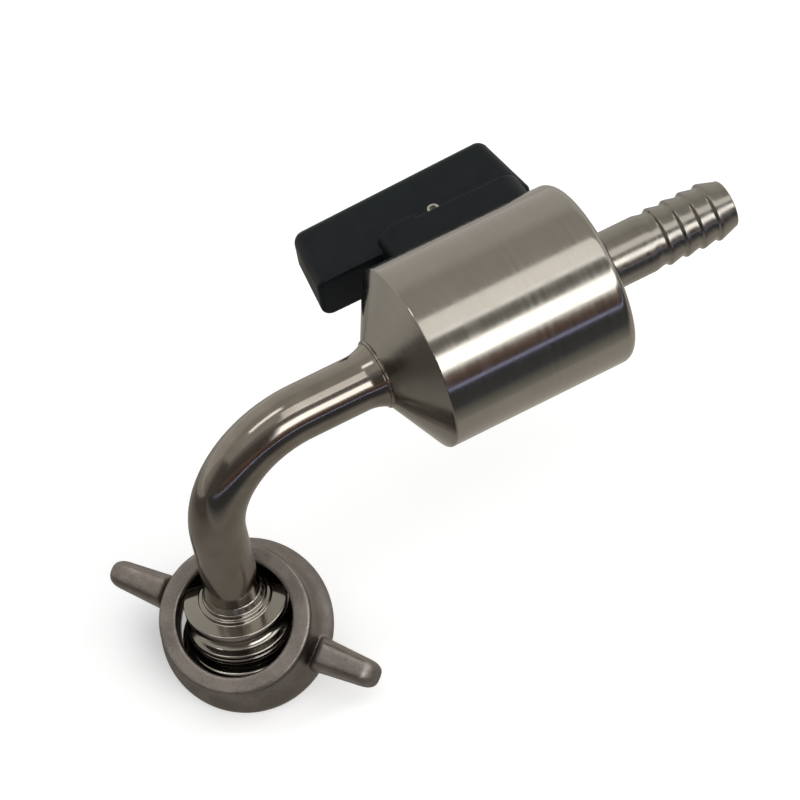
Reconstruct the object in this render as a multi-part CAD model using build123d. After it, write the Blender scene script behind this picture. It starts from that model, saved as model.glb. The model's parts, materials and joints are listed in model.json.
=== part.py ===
from build123d import *
import math
import os

os.makedirs("parts", exist_ok=True)

# Elbow ball valve for a drinks line. Millimetres.
# The origin is the centre of the sealing face at the coupling end, on the tail's axis.
# +Z runs up the tail, +X towards the hose barb, +Y up the valve stem to the handle.

# Driving sizes of the tube and its bend
tube_od = 10.0
tube_wall = 1.0
bend_radius = 19.5
tail_leg = 18.0
elbow_leg = 21.2

# Fits
slip = 0.03
running = 0.04
loose = 0.10

# Wing nut radii: the skirt is the driving size, and the rest are walls and steps inside it
nut_skirt_r = 15.8
nut_wall = 3.74
nut_lip = 1.61
nut_collar_wall = 1.09
nut_flare_wall = 0.79
nut_thread_r = nut_skirt_r - nut_wall
nut_hole_r = nut_thread_r - nut_lip
nut_collar_r = nut_thread_r + nut_collar_wall
nut_flare_r = nut_thread_r + nut_flare_wall

# Tail piece: the collars pass the nut's hole, and the seat flange fills its thread
collar_play = 0.8
collar_step = 0.3
flange_play = 0.96
disc_lower_r = nut_hole_r - collar_play
disc_upper_r = disc_lower_r - collar_step
seat_flange_r = nut_thread_r - flange_play
waist_r = 7.3
neck_r = 7.9
boss_r = 6.5
collar_r = 5.75

# Tail piece heights, measured downwards from the top of its upper collar
disc_upper_t = 1.7
waist_t = 3.5
disc_lower_t = 2.1
seat_flange_top = 9.0
seat_flange_t = 2.7
boss_h = 0.7
collar_h = 1.5
rim_groove = 0.25
tube_sunk = 5.0

# Sealing washer in the seat flange
washer_rim = 1.5
washer_r = seat_flange_r - washer_rim
washer_hole_r = 5.0
washer_t = 2.2
washer_proud = 1.4

# Valve body
body_r = 17.0
rim_to_stem = 18.9
stem_to_end = 17.1
cone_len = 6.2
cone_end_r = 6.3
socket_depth = 2.8
rim_round = 2.0
near_round = 0.35
flat_y = 13.6
main_bore_r = 9.2

# Ferrule and weld bead at the neck
bead_t = 0.5
ferrule_len = 4.0
ferrule_lip = 0.05
ferrule_back = 0.3

# Ball and its two seats
port_r = tube_od / 2 - tube_wall
ball_r = 7.5
seat_r = 7.4
seat_front = 5.0
seat_back = 9.6
slot_w = 3.0
slot_floor = 5.6

# End plug and hose barb
plug_thread_r = 11.5
plug_head_t = 5.1
plug_nose = 5.4
spanner_hole_r = 1.0
spanner_hole_at = 8.6
spanner_hole_h = 2.5
nipple_head_r = 6.8
nipple_head_t = 1.6
barb_stem_r = 5.32
barb_land_end = 11.0
barb_neck_r = 4.95
barb_crest_r = 5.45
barb_first = 13.7
barb_pitch = 3.35
barb_count = 4
barb_tip = 27.7
barb_tip_r = 4.5
barb_bore_r = 3.5
plug_ring_r = 0.85

# Stem
stem_r = 3.5
shoulder_r = 4.6
shoulder_low = 8.2
shoulder_top = 9.6
thrust_t = 0.8
stem_ring_r = 0.56
stem_square = 4.6
stem_top = 27.5
tongue_len = 7.0

# Handle, measured from the stem's axis
hub_left = 12.4
hub_right = 15.4
hub_half_w = 8.0
hub_low = 13.9
hub_top = 21.65
hub_step = 1.1
hub_step_x = 4.8
hub_corner_r = 3.5
grip_low = 20.55
grip_top_left = 34.65
grip_top_right = 36.0
grip_t = 9.0
grip_left_low = 25.6
grip_left_top = 23.7
grip_overhang = 0.1
grip_right_lean = 1.6
grip_end_round = 2.2
grip_top_round = 2.0
grip_low_round = 0.8
set_screw_r = 1.25
set_screw_y = 25.1

# Travel stop
stop_pin_r = 1.0
stop_pin_path = 5.7
stop_pin_h = 2.4
stop_pin_sunk = 2.6
handle_travel = 90.0

# Wing nut heights, its wings and the ring behind its web
nut_web = 1.5
nut_h = 14.0
nut_collar_h = 2.3
nut_flare_end = 10.9
wing_root_out = 0.4
wing_reach = 11.1
wing_root_r = nut_skirt_r + wing_root_out
wing_tip_r = nut_skirt_r + wing_reach
wing_root_drop = 4.8
wing_face_back = 1.5
wing_tip_drop = 5.6
wing_low = 11.8
wing_root_half = 2.9
wing_tip_half = 2.0
wing_draft = 5.0
wing_angle = 67.5
slip_ring_t = 0.35
slip_ring_play = 0.05
slip_ring_back = 0.16
slip_ring_hole_r = nut_hole_r + slip_ring_play
slip_ring_r = nut_thread_r - slip_ring_back

# Resting pose of the loose nut, leaning against the tube
nut_tilt = 31.5
nut_azimuth = 57.3
nut_shift = -3.8
nut_drop = 1.15

# Levels and stations that follow from the sizes
disc_top_z = washer_proud + seat_flange_t + seat_flange_top
bend_low_z = disc_top_z + tail_leg
axis_z = bend_low_z + bend_radius
rim_x = bend_radius + elbow_leg
ball_x = rim_x + rim_to_stem
end_x = stem_to_end
plug_step = end_x - plug_head_t
flange_low_z = washer_proud
tube_r = tube_od / 2
FROM_BASE = (Align.CENTER, Align.CENTER, Align.MIN)


def turned(points):
    """Solid of revolution about Z from radius and height pairs."""
    wire = Polyline([(r, 0, h) for r, h in points], close=True)
    return revolve(make_face(wire), Axis.Z, 360)


def along_x(shape):
    """Stands a piece that was turned about Z along the valve's bore, with +Z towards the barb."""
    return Location((ball_x, 0, axis_z)) * Rot(0, 90, 0) * shape


def along_stem(shape):
    """Stands a piece that was turned about Z along the stem, with +Z towards the handle."""
    return Location((ball_x, 0, axis_z)) * Rot(-90, 0, 0) * shape


def rod(radius, low, high):
    """Round bar about Z between two heights."""
    return Location((0, 0, low)) * Cylinder(radius, high - low, align=FROM_BASE)


def tube_between(outer_r, inner_r, low, high):
    """Round sleeve about Z between two heights."""
    return rod(outer_r, low, high) - rod(inner_r, low, high)


def block(size_x, size_y, low, high):
    """Rectangular bar centred on Z between two heights."""
    return Location((0, 0, low)) * Box(size_x, size_y, high - low, align=FROM_BASE)


def ring(mean_r, section_r, height):
    """Round sealing ring about Z."""
    return Location((0, 0, height)) * Torus(mean_r, section_r)


def save(shape, name):
    """Writes one piece under its own name."""
    shape.label = name
    export_step(shape, f"parts/{name}.step")
    print(f"{name:16s} {shape.volume:10.1f} mm3  solids {len(shape.solids())}  valid {shape.is_valid}")


# Valve body, turned about its bore. Heights are stations from the ball's centre.
cone_tip = -rim_to_stem - cone_len
socket_end = cone_tip + socket_depth
body = turned(
    [
        (0, cone_tip),
        (cone_end_r, cone_tip),
        (body_r, -rim_to_stem),
        (body_r, end_x),
        (0, end_x),
    ]
)
far_edge = body.edges().filter_by(GeomType.CIRCLE).sort_by(Axis.Z)[-1]
body = fillet(far_edge, rim_round)
near_edge = body.edges().filter_by(GeomType.CIRCLE).sort_by(Axis.Z)[1]
body = fillet(near_edge, near_round)
body -= rod(tube_r + slip, cone_tip - 1, socket_end)
body -= rod(port_r, socket_end - 1, 0)
body -= rod(seat_r + slip, -seat_back, 0)
body -= rod(main_bore_r, -seat_front - 0.2, end_x + 1)
body -= rod(plug_thread_r, plug_step, end_x + 1)
body = along_x(body)
flat_cut = Box(4 * body_r, body_r, 2 * body_r, align=(Align.CENTER, Align.MIN, Align.CENTER))
body -= Location((ball_x, flat_y, axis_z)) * flat_cut
pocket_top = shoulder_top + thrust_t
body -= along_stem(rod(shoulder_r + 0.15, 0, pocket_top))
body -= along_stem(rod(stem_r + running, pocket_top - 1, flat_y + 1))
pin_x = -stop_pin_path * math.sin(math.radians(45))
pin_z = stop_pin_path * math.sin(math.radians(45))
pin_spot = Location((ball_x + pin_x, 0, axis_z + pin_z)) * Rot(-90, 0, 0)
pin_low = flat_y - stop_pin_sunk
body -= pin_spot * rod(stop_pin_r + slip, pin_low, flat_y + 1)
save(body, "valve_body")

# Stop pin, pressed into the flat under the handle
stop_pin = pin_spot * rod(stop_pin_r, pin_low, flat_y + stop_pin_h)
stop_pin = chamfer(stop_pin.edges().filter_by(GeomType.CIRCLE), 0.2)
save(stop_pin, "stop_pin")

# Ball with its through port and the slot that takes the stem's tongue
ball = Sphere(ball_r) - rod(port_r, -ball_r - 1, ball_r + 1)
ball = along_x(ball)
slot_cut = Box(slot_w, ball_r, 3 * ball_r, align=(Align.CENTER, Align.MIN, Align.CENTER))
ball -= Location((ball_x, slot_floor, axis_z)) * slot_cut
save(ball, "ball")


def make_seat():
    """Seat ring with a spherical face, its back face at the lower height."""
    blank = rod(seat_r, -seat_back, -seat_front) - rod(port_r, -seat_back - 1, 0)
    return blank - Sphere(ball_r + running)


seat = make_seat()
save(along_x(seat), "seat_inlet")
save(along_x(Rot(180, 0, 0) * seat), "seat_outlet")

# Stem: tongue, shoulder, round shank with two ring grooves, square end
shank_top = hub_low + 0.4
ring_low = flat_y - 2.3
ring_high = flat_y - 0.95
groove_r = stem_r - 2 * stem_ring_r - 0.04
stem = rod(shoulder_r, shoulder_low, shoulder_top) + rod(stem_r, shoulder_top, shank_top)
groove_half = stem_ring_r + running
for level in (ring_low, ring_high):
    stem -= tube_between(stem_r + 1, groove_r, level - groove_half, level + groove_half)
square = block(stem_square, stem_square, shank_top, stem_top)
stem += chamfer(square.edges().filter_by(Axis.Z), 0.5)
stem += block(slot_w - 2 * running, tongue_len, slot_floor + loose, shoulder_low)
save(along_stem(stem), "stem")

stem_rings = ring(groove_r + stem_ring_r, stem_ring_r, ring_low)
stem_rings = Compound([stem_rings, ring(groove_r + stem_ring_r, stem_ring_r, ring_high)])
save(along_stem(stem_rings), "stem_orings")

thrust = rod(shoulder_r, shoulder_top + 0.02, pocket_top - 0.02) - rod(stem_r + running, 0, flat_y)
save(along_stem(thrust), "thrust_washer")

# End plug that holds the seats and carries the barb
plug = rod(main_bore_r - slip, plug_nose, plug_step + 0.5)
plug += rod(plug_thread_r - slip, plug_step + slip, end_x)
plug = chamfer(plug.edges().filter_by(GeomType.CIRCLE).sort_by(Axis.Z)[-1], 0.3)
ring_station = plug_step - 1.3
ring_root = main_bore_r - 2 * plug_ring_r - 0.06
ring_half = plug_ring_r + running
plug -= tube_between(main_bore_r + 1, ring_root, ring_station - ring_half, ring_station + ring_half)
plug -= rod(seat_r + slip, 0, seat_back)
head_seat = seat_back + nipple_head_t
plug -= rod(nipple_head_r + slip, 0, head_seat)
plug -= rod(barb_stem_r + slip, 0, end_x + 1)
for side in (-1, 1):
    spanner_hole = rod(spanner_hole_r, end_x - spanner_hole_h, end_x + 1)
    plug -= Location((0, side * spanner_hole_at, 0)) * spanner_hole
save(along_x(plug), "end_plug")

plug_ring = ring(ring_root + plug_ring_r, plug_ring_r, ring_station)
save(along_x(plug_ring), "plug_oring")

# Hose barb: a nipple clamped by the plug, with ribs that grip the hose
first = end_x + barb_first
land = end_x + barb_land_end
tip = end_x + barb_tip
profile = [
    (0, seat_back + 0.02),
    (nipple_head_r, seat_back + 0.02),
    (nipple_head_r, head_seat),
    (barb_stem_r, head_seat),
    (barb_stem_r, land),
    (barb_neck_r, land + 1.5),
]
for rib in range(barb_count):
    crest = first + rib * barb_pitch
    profile.append((barb_neck_r, crest - 0.35))
    profile.append((barb_crest_r, crest))
    profile.append((barb_crest_r, crest + 0.25))
    profile.append((barb_neck_r, crest + barb_pitch - 0.75))
profile = profile[:-1]
profile.append((barb_tip_r, tip - 0.5))
profile.append((barb_tip_r - 0.5, tip))
profile.append((0, tip))
barb = turned(profile)
barb -= rod(barb_bore_r, 0, tip + 1)
barb -= Location((0, 0, seat_back)) * Cone(port_r, barb_bore_r, 2.0, align=FROM_BASE)
save(along_x(barb), "hose_barb")

# Elbow tube: a straight leg, a quarter bend and the leg down into the tail piece
tube_start = ball_x + socket_end - slip
tube_low_z = disc_top_z - tube_sunk
bend_mid = bend_radius * math.sin(math.radians(45))
path = Line((tube_start, 0, axis_z), (bend_radius, 0, axis_z))
path += ThreePointArc(
    (bend_radius, 0, axis_z),
    (bend_radius - bend_mid, 0, bend_low_z + bend_mid),
    (0, 0, bend_low_z),
)
path += Line((0, 0, bend_low_z), (0, 0, tube_low_z))
mouth = Plane(origin=(tube_start, 0, axis_z), z_dir=(-1, 0, 0))
tube = sweep(mouth * Circle(tube_r), path) - sweep(mouth * Circle(port_r), path)
save(tube, "elbow_tube")

# Flared ferrule and weld bead where the tube meets the cone
ferrule_top = cone_tip - bead_t
ferrule_low = ferrule_top - ferrule_len
inner = tube_r + slip
lip = inner + ferrule_lip
flare_end = cone_end_r - ferrule_back
flare_mid = (inner + (flare_end - inner) * 0.3, 0, (ferrule_low + ferrule_top) / 2)
outline = Polyline(
    [(flare_end, 0, ferrule_top), (inner, 0, ferrule_top), (inner, 0, ferrule_low), (lip, 0, ferrule_low)]
)
outline += ThreePointArc((lip, 0, ferrule_low), flare_mid, (flare_end, 0, ferrule_top))
ferrule = revolve(make_face(outline), Axis.Z, 360)
save(along_x(ferrule), "neck_ferrule")

bead = turned(
    [
        (inner, ferrule_top),
        (flare_end, ferrule_top),
        (cone_end_r, ferrule_top + 0.2 * bead_t),
        (cone_end_r + 0.2 * bead_t, ferrule_top + 0.6 * bead_t),
        (cone_end_r, cone_tip),
        (inner, cone_tip),
    ]
)
save(along_x(bead), "neck_weld")

# Tail piece: two collars with a waist, then the hidden seat flange
waist_low = disc_upper_t + waist_t
lower_end = waist_low + disc_lower_t
flange_end = seat_flange_top + seat_flange_t
tail_profile = [
    (0, -collar_h),
    (collar_r - 0.3, -collar_h),
    (collar_r, -collar_h + 0.3),
    (collar_r, -boss_h),
    (boss_r - 0.2, -boss_h),
    (boss_r, -boss_h + 0.2),
    (boss_r, 0),
    (disc_upper_r - 0.2, 0),
    (disc_upper_r, 0.2),
    (disc_upper_r, disc_upper_t - 0.2),
    (disc_upper_r - 0.2, disc_upper_t),
    (waist_r + 0.7, disc_upper_t),
    (waist_r, disc_upper_t + 0.7),
    (waist_r, waist_low - 1.4),
    (waist_r + 0.8, waist_low - 0.35),
    (waist_r + 1.5, waist_low),
    (disc_lower_r - 0.2, waist_low),
    (disc_lower_r, waist_low + 0.2),
    (disc_lower_r, waist_low + 0.75),
    (disc_lower_r - rim_groove, waist_low + 0.95),
    (disc_lower_r, waist_low + 1.15),
    (disc_lower_r, lower_end - 0.2),
    (disc_lower_r - 0.2, lower_end),
    (neck_r, lower_end),
    (neck_r, seat_flange_top),
    (seat_flange_r - 0.8, seat_flange_top),
    (seat_flange_r, seat_flange_top + 0.8),
    (seat_flange_r, flange_end - 0.4),
    (seat_flange_r - 0.4, flange_end),
    (0, flange_end),
]
tail = turned([(r, disc_top_z - h) for r, h in tail_profile])
tail -= rod(tube_r + slip, tube_low_z, disc_top_z + collar_h + 1)
tail -= rod(port_r, 0, tube_low_z + 1)
washer_top = flange_low_z + washer_t - washer_proud
tail -= rod(washer_r + slip, 0, washer_top)
save(tail, "tail_piece")

weld_low = disc_top_z + collar_h
tail_bead = turned(
    [
        (tube_r + slip, weld_low),
        (collar_r - 0.35, weld_low),
        (collar_r - 0.25, weld_low + 0.15),
        (collar_r - 0.4, weld_low + 0.5),
        (tube_r + 0.12, weld_low + 1.1),
        (tube_r + slip, weld_low + 1.2),
    ]
)
save(tail_bead, "tail_weld")

washer = rod(washer_r, 0, washer_t) - rod(washer_hole_r, -1, washer_t + 1)
save(washer, "seal_washer")

# Wing nut, drawn with its web at the top and its mouth downwards, then leant over
flare_low_r = nut_skirt_r - 0.25
flare_mid_r = nut_flare_r + (flare_low_r - nut_flare_r) * 0.3
flare_mid_h = -(nut_collar_h + nut_flare_end) / 2
nut_outline = Polyline(
    [
        (flare_low_r, 0, -nut_flare_end),
        (nut_skirt_r, 0, -nut_flare_end - 0.7),
        (nut_skirt_r, 0, -nut_h + 0.9),
        (nut_skirt_r - 0.25, 0, -nut_h + 0.3),
        (nut_skirt_r - 0.8, 0, -nut_h),
        (nut_thread_r + 1.0, 0, -nut_h),
        (nut_thread_r, 0, -nut_h + 1.0),
        (nut_thread_r, 0, -nut_web),
        (nut_hole_r, 0, -nut_web),
        (nut_hole_r, 0, -0.2),
        (nut_hole_r + 0.2, 0, 0),
        (nut_collar_r - 0.3, 0, 0),
        (nut_collar_r, 0, -0.3),
        (nut_collar_r, 0, -nut_collar_h + 0.15),
        (nut_flare_r, 0, -nut_collar_h - 0.1),
    ]
)
nut_outline += ThreePointArc(
    (nut_flare_r, 0, -nut_collar_h - 0.1),
    (flare_mid_r, 0, flare_mid_h),
    (flare_low_r, 0, -nut_flare_end),
)
nut = revolve(make_face(nut_outline), Axis.Z, 360)

# Each wing is a drafted plate with a round tip, cut to its side outline
root_in_r = nut_thread_r + 1.8
tip_x = wing_tip_r - wing_tip_half
near_side = [(root_in_r, -wing_root_half - 0.3), (wing_root_r, -wing_root_half), (tip_x, -wing_tip_half)]
far_side = [(x, -y) for x, y in reversed(near_side)]
plan = Polyline(near_side) + ThreePointArc(near_side[-1], (wing_tip_r, 0), far_side[0])
plan += Polyline(far_side + near_side[:1])
wing_plan = extrude(Location((0, 0, -nut_h)) * make_face(plan), nut_h, dir=(0, 0, 1), taper=wing_draft)
wing_side = Polyline(
    [
        (root_in_r, -nut_h + 1.2),
        (root_in_r, -nut_flare_end + 1.3),
        (wing_root_r - 1.2, -nut_flare_end + 2.3),
        (wing_root_r, -wing_root_drop),
        (wing_tip_r - wing_face_back - 0.6, -wing_tip_drop),
        (wing_tip_r - wing_face_back, -wing_tip_drop - 0.4),
        (wing_tip_r + 0.1, -wing_low + 1.6),
        (wing_tip_r - 0.8, -wing_low),
    ],
    close=True,
)
wing_plate = extrude(make_face(Plane.XZ * wing_side), nut_skirt_r, both=True)
wing = wing_plate & wing_plan
for turn in (0, 180):
    nut += Rot(0, 0, wing_angle + turn) * wing

azimuth = math.radians(nut_azimuth)
nut_place = Location(
    (nut_shift * math.cos(azimuth), nut_shift * math.sin(azimuth), disc_top_z - nut_drop)
)
nut_place = nut_place * Rot(0, 0, nut_azimuth) * Rot(0, -nut_tilt, 0)
save(nut_place * nut, "wing_nut")

slip_ring = tube_between(slip_ring_r, slip_ring_hole_r, -nut_web - slip_ring_t, -nut_web)
save(nut_place * slip_ring, "slip_ring")

# Handle: a hub over the stem and a tall grip whose long end points to the elbow
hub_len = hub_left + hub_right
hub_plan = RectangleRounded(hub_len, 2 * hub_half_w, hub_corner_r)
hub_plan = Location(((hub_right - hub_left) / 2, 0, hub_low)) * hub_plan
hub = extrude(hub_plan, hub_top + hub_step - hub_low)
step_cut = Box(hub_len, 3 * hub_half_w, 3 * hub_step, align=(Align.MIN, Align.CENTER, Align.MIN))
hub -= Location((-hub_step_x, 0, hub_top)) * step_cut
hub = chamfer(hub.faces().sort_by(Axis.Z)[-1].edges(), 0.25)
grip_right = end_x + grip_overhang
grip_side = Polyline(
    [
        (-grip_left_low, grip_low),
        (-grip_left_top, grip_top_left),
        (grip_right - grip_right_lean, grip_top_right),
        (grip_right, grip_low),
    ],
    close=True,
)
grip = extrude(make_face(Plane.XZ * grip_side), grip_t / 2, both=True)
grip_half_h = (grip_top_left - grip_low) / 2
end_edges = grip.edges().filter_by(Plane.XZ).filter_by(lambda e: abs((e @ 1 - e @ 0).Z) > grip_half_h)
grip = fillet(end_edges, grip_end_round)
top_face = grip.faces().sort_by(Axis.Z)[-1]
grip = fillet(top_face.edges(), grip_top_round)
low_face = grip.faces().sort_by(Axis.Z)[0]
grip = fillet(low_face.edges(), grip_low_round)
core = block(hub_len - 2.0, grip_t - 1.0, hub_low, grip_low + 2)
handle = hub + grip + Location(((hub_right - hub_left) / 2, 0, 0)) * core
handle -= rod(stem_r + 0.3, hub_low - 1, shank_top + 0.1)
handle -= block(stem_square + 2 * slip, stem_square + 2 * slip, shank_top, stem_top + 0.3)
# The pin runs in an arc-shaped track under the hub, which ends where the handle must stop.
track_play = stop_pin_r + loose
track_half = math.radians(handle_travel / 2) + math.asin(track_play / stop_pin_path) + math.radians(0.5)
track_top = flat_y + stop_pin_h + 0.4
track = tube_between(stop_pin_path + track_play, stop_pin_path - track_play, hub_low, track_top)
wedge_x = 2 * stop_pin_path
wedge_y = wedge_x * math.tan(track_half)
wedge = Polyline([(0, 0), (-wedge_x, -wedge_y), (-wedge_x, wedge_y)], close=True)
handle -= track & Location((0, 0, hub_low)) * extrude(make_face(wedge), track_top - hub_low)
screw_hole = Location((0, -stem_square / 2, set_screw_y)) * Rot(90, 0, 0) * rod(set_screw_r, 0, grip_t)
handle -= screw_hole
save(along_stem(handle), "handle")

screw_len = (grip_t - stem_square) / 2 - 0.1
screw = rod(set_screw_r, slip, screw_len)
screw = chamfer(screw.edges().filter_by(GeomType.CIRCLE).sort_by(Axis.Z)[-1], 0.15)
hexagon = extrude(Location((0, 0, screw_len - 1.1)) * RegularPolygon(0.72, 6), 2)
screw -= hexagon
screw = Location((0, -stem_square / 2, set_screw_y)) * Rot(90, 0, 0) * screw
save(along_stem(screw), "set_screw")
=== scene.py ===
# %% [markdown]
# # Elbow ball valve
# A stainless steel ball valve for a drinks line, with an elbow tube, a loose wing nut and a black handle.
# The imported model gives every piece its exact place. This script adds the finishes, the lamps and the camera,
# and a few pieces whose surface needs more than the solids hold.

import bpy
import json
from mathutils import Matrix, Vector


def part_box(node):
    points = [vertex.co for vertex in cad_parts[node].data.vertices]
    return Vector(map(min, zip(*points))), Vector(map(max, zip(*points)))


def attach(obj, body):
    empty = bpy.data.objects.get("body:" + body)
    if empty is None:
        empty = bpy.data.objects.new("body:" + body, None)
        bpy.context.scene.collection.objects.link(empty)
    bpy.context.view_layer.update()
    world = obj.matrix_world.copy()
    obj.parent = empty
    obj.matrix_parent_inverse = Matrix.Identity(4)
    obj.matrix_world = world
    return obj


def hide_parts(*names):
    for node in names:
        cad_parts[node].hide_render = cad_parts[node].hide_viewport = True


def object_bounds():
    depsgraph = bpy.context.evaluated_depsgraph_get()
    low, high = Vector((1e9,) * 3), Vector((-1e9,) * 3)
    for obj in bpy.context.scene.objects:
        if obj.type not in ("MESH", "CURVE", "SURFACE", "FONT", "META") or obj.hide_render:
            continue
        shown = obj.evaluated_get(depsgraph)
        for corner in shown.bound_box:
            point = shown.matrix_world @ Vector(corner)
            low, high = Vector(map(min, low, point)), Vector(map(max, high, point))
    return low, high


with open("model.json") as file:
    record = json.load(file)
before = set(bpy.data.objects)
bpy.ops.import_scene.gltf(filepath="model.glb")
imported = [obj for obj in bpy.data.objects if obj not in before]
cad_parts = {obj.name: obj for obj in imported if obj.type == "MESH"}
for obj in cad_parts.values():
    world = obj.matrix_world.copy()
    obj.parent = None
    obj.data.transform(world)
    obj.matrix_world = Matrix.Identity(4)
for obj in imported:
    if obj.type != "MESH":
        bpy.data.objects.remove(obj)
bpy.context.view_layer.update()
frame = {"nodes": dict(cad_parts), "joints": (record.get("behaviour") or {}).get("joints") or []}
print("pieces in the model:", len(frame["nodes"]))

# %% [markdown]
# Blender works in metres and the valve is described in millimetres, so one factor turns one into the other.
# The bore of the valve runs along X at one height, and the elbow's tail stands on the Z axis.

# %% Shared sizes
import json
import math

import bpy
import numpy as np
from mathutils import Matrix, Vector

MM = 0.001
nodes = frame["nodes"]
body_low, body_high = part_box("valve_body")
bore_z = (body_low.z + body_high.z) / 2
stem_low, stem_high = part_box("stem")
stem_x = (stem_low.x + stem_high.x) / 2
print("bore height mm:", round(bore_z / MM, 2), " stem at x mm:", round(stem_x / MM, 2))

# %% [markdown]
# Blender keeps data, such as a mesh or a lamp, apart from the object that gives it a place. Data shows only
# when an object carries it and the scene holds that object, so one helper does both at once.


# %% From data to an object
def add_object(name, data):
    """An object with that name and data, held by the scene."""
    made = bpy.data.objects.new(name, data)
    bpy.context.scene.collection.objects.link(made)
    return made


# %% [markdown]
# A material is a graph of nodes, and wiring it by hand hides the idea. This small class wraps one socket,
# so that a sum or a product of sockets can be written as plain Python, and each sign adds its own Math node.
# The methods that start with __r serve a number on the left, as in 1 - mask.
# Its one method for other nodes takes the node's type, then its settings, then what goes into its sockets.


# %% Sockets that can be added and multiplied
class Socket:
    """One output of a node. Arithmetic on it adds Math nodes to the same material."""

    def __init__(self, tree, socket=None):
        self.tree = tree
        self.socket = socket

    def node(self, kind, settings=None, values=None, out=0):
        """Adds a node of a kind: settings first, then a value or a link for each socket named in values."""
        made = self.tree.nodes.new(kind)
        for name, value in (settings or {}).items():
            if name == "stops":
                self._ramp(made.color_ramp, value)
            else:
                setattr(made, name, value)
        for name, value in (values or {}).items():
            if isinstance(value, Socket):
                self.tree.links.new(value.socket, made.inputs[name])
            else:
                made.inputs[name].default_value = value
        return Socket(self.tree, made.outputs[out])

    def _ramp(self, ramp, stops):
        """Sets the colours of a ramp, each with its place."""
        while len(ramp.elements) < len(stops):
            ramp.elements.new(0.5)
        for element, (place, colour) in zip(ramp.elements, stops):
            element.position = place
            element.color = colour

    def maths(self, operation, *values):
        """A Math node with that operation."""
        return self.node("ShaderNodeMath", {"operation": operation}, dict(enumerate(values)))

    def __add__(self, other):
        return self.maths("ADD", self, other)

    def __radd__(self, other):
        return self.maths("ADD", other, self)

    def __sub__(self, other):
        return self.maths("SUBTRACT", self, other)

    def __rsub__(self, other):
        return self.maths("SUBTRACT", other, self)

    def __mul__(self, other):
        return self.maths("MULTIPLY", self, other)

    def __rmul__(self, other):
        return self.maths("MULTIPLY", other, self)

    def __pow__(self, other):
        return self.maths("POWER", self, other)

    def __rpow__(self, other):
        return self.maths("POWER", other, self)


print("sockets can be added, subtracted, multiplied and raised to a power")

# %% [markdown]
# Every finish starts the same way: a Principled shader on the output, and the position of the point being
# shaded, in millimetres. Object coordinates don't move when a joint turns, so the pattern stays on its piece.


# %% A new finish
def node_material(name):
    """A new material made of nodes, and its node tree."""
    material = bpy.data.materials.new(name)
    material.use_nodes = True
    return material, material.node_tree


class Finish:
    """A material with a Principled shader, its named constants set, and the shaded point in millimetres."""

    def __init__(self, name, centre=(0.0, 0.0, 0.0), **constants):
        self.material, self.tree = node_material(name)
        self.shader = self.tree.nodes["Principled BSDF"]
        self.start = Socket(self.tree)
        for name, value in constants.items():
            self.shader.inputs[name.replace("_", " ")].default_value = value
        point = self.start.node("ShaderNodeTexCoord", out="Object")
        move = {"Location": tuple(-c / MM for c in centre), "Scale": (1 / MM,) * 3, "Vector": point}
        self.point = self.start.node("ShaderNodeMapping", {"vector_type": "POINT"}, move)

    def axes(self):
        """The three coordinates of the shaded point as numbers."""
        return [self.start.node("ShaderNodeSeparateXYZ", {}, {"Vector": self.point}, out=i) for i in range(3)]

    def noise(self, size, detail=2.0, roughness=0.5, stretch=None):
        """Cloudy noise whose patches are about size millimetres across."""
        point = self.point
        if stretch:
            point = self.start.node("ShaderNodeVectorMath", {"operation": "MULTIPLY"}, {0: point, 1: stretch})
        values = {"Vector": point, "Scale": 1 / size, "Detail": detail, "Roughness": roughness}
        return self.start.node("ShaderNodeTexNoise", {}, values)

    def lines(self, along, size, detail=1.0):
        """Noise along one number only, as lathe marks run, with lines about size millimetres apart."""
        values = {"W": along, "Scale": 1 / size, "Detail": detail, "Roughness": 0.6}
        return self.start.node("ShaderNodeTexNoise", {"noise_dimensions": "1D"}, values)

    def dot(self, first, second):
        """The dot product of two points or directions."""
        settings = {"operation": "DOT_PRODUCT"}
        return self.start.node("ShaderNodeVectorMath", settings, {0: first, 1: second}, "Value")

    def mix(self, factor, low, high):
        """A colour between low and high by factor."""
        settings = {"data_type": "RGBA", "clamp_factor": True}
        return self.start.node("ShaderNodeMix", settings, {0: factor, 6: low, 7: high}, out=2)

    def fit(self, value, low, high, to_low, to_high):
        """Carries value from low..high to to_low..to_high, and holds it there."""
        settings = {"interpolation_type": "SMOOTHSTEP"}
        values = {"Value": value, 1: low, 2: high, 3: to_low, 4: to_high}
        return self.start.node("ShaderNodeMapRange", settings, values)

    def bump(self, height, depth, below=None):
        """A Bump node: height in 0..1 stands depth millimetres high."""
        values = {"Height": height, "Distance": depth * MM, "Strength": 1.0}
        if below:
            values["Normal"] = below
        return self.start.node("ShaderNodeBump", {}, values)

    def set(self, **links):
        """Links varying values to the shader's sockets."""
        for name, value in links.items():
            self.tree.links.new(value.socket, self.shader.inputs[name.replace("_", " ")])
        return self.material


print("a finish can now be made")

# %% [markdown]
# Colours are given as the shader uses them, in linear parts from 0 to 1. Most finishes vary a little round
# one colour, so a second helper makes it darker or lighter.


# %% Colours
def rgb(red, green, blue):
    """A colour from linear parts."""
    return (red, green, blue, 1.0)


def dim(colour, factor):
    """The same colour, lighter or darker."""
    return rgb(*[min(1.0, part * factor) for part in colour[:3]])


print("half of white:", dim(rgb(1, 1, 1), 0.5))

# %% [markdown]
# ## Turned stainless steel
# The body, the barb and the plug come off a lathe. The tool leaves very fine lines round the piece, so a
# reflection stays sharp round the circumference and smears along the axis. A bump that varies only along the
# axis does just that. On an end face the same tool leaves rings, so the radius is a second input.


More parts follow.
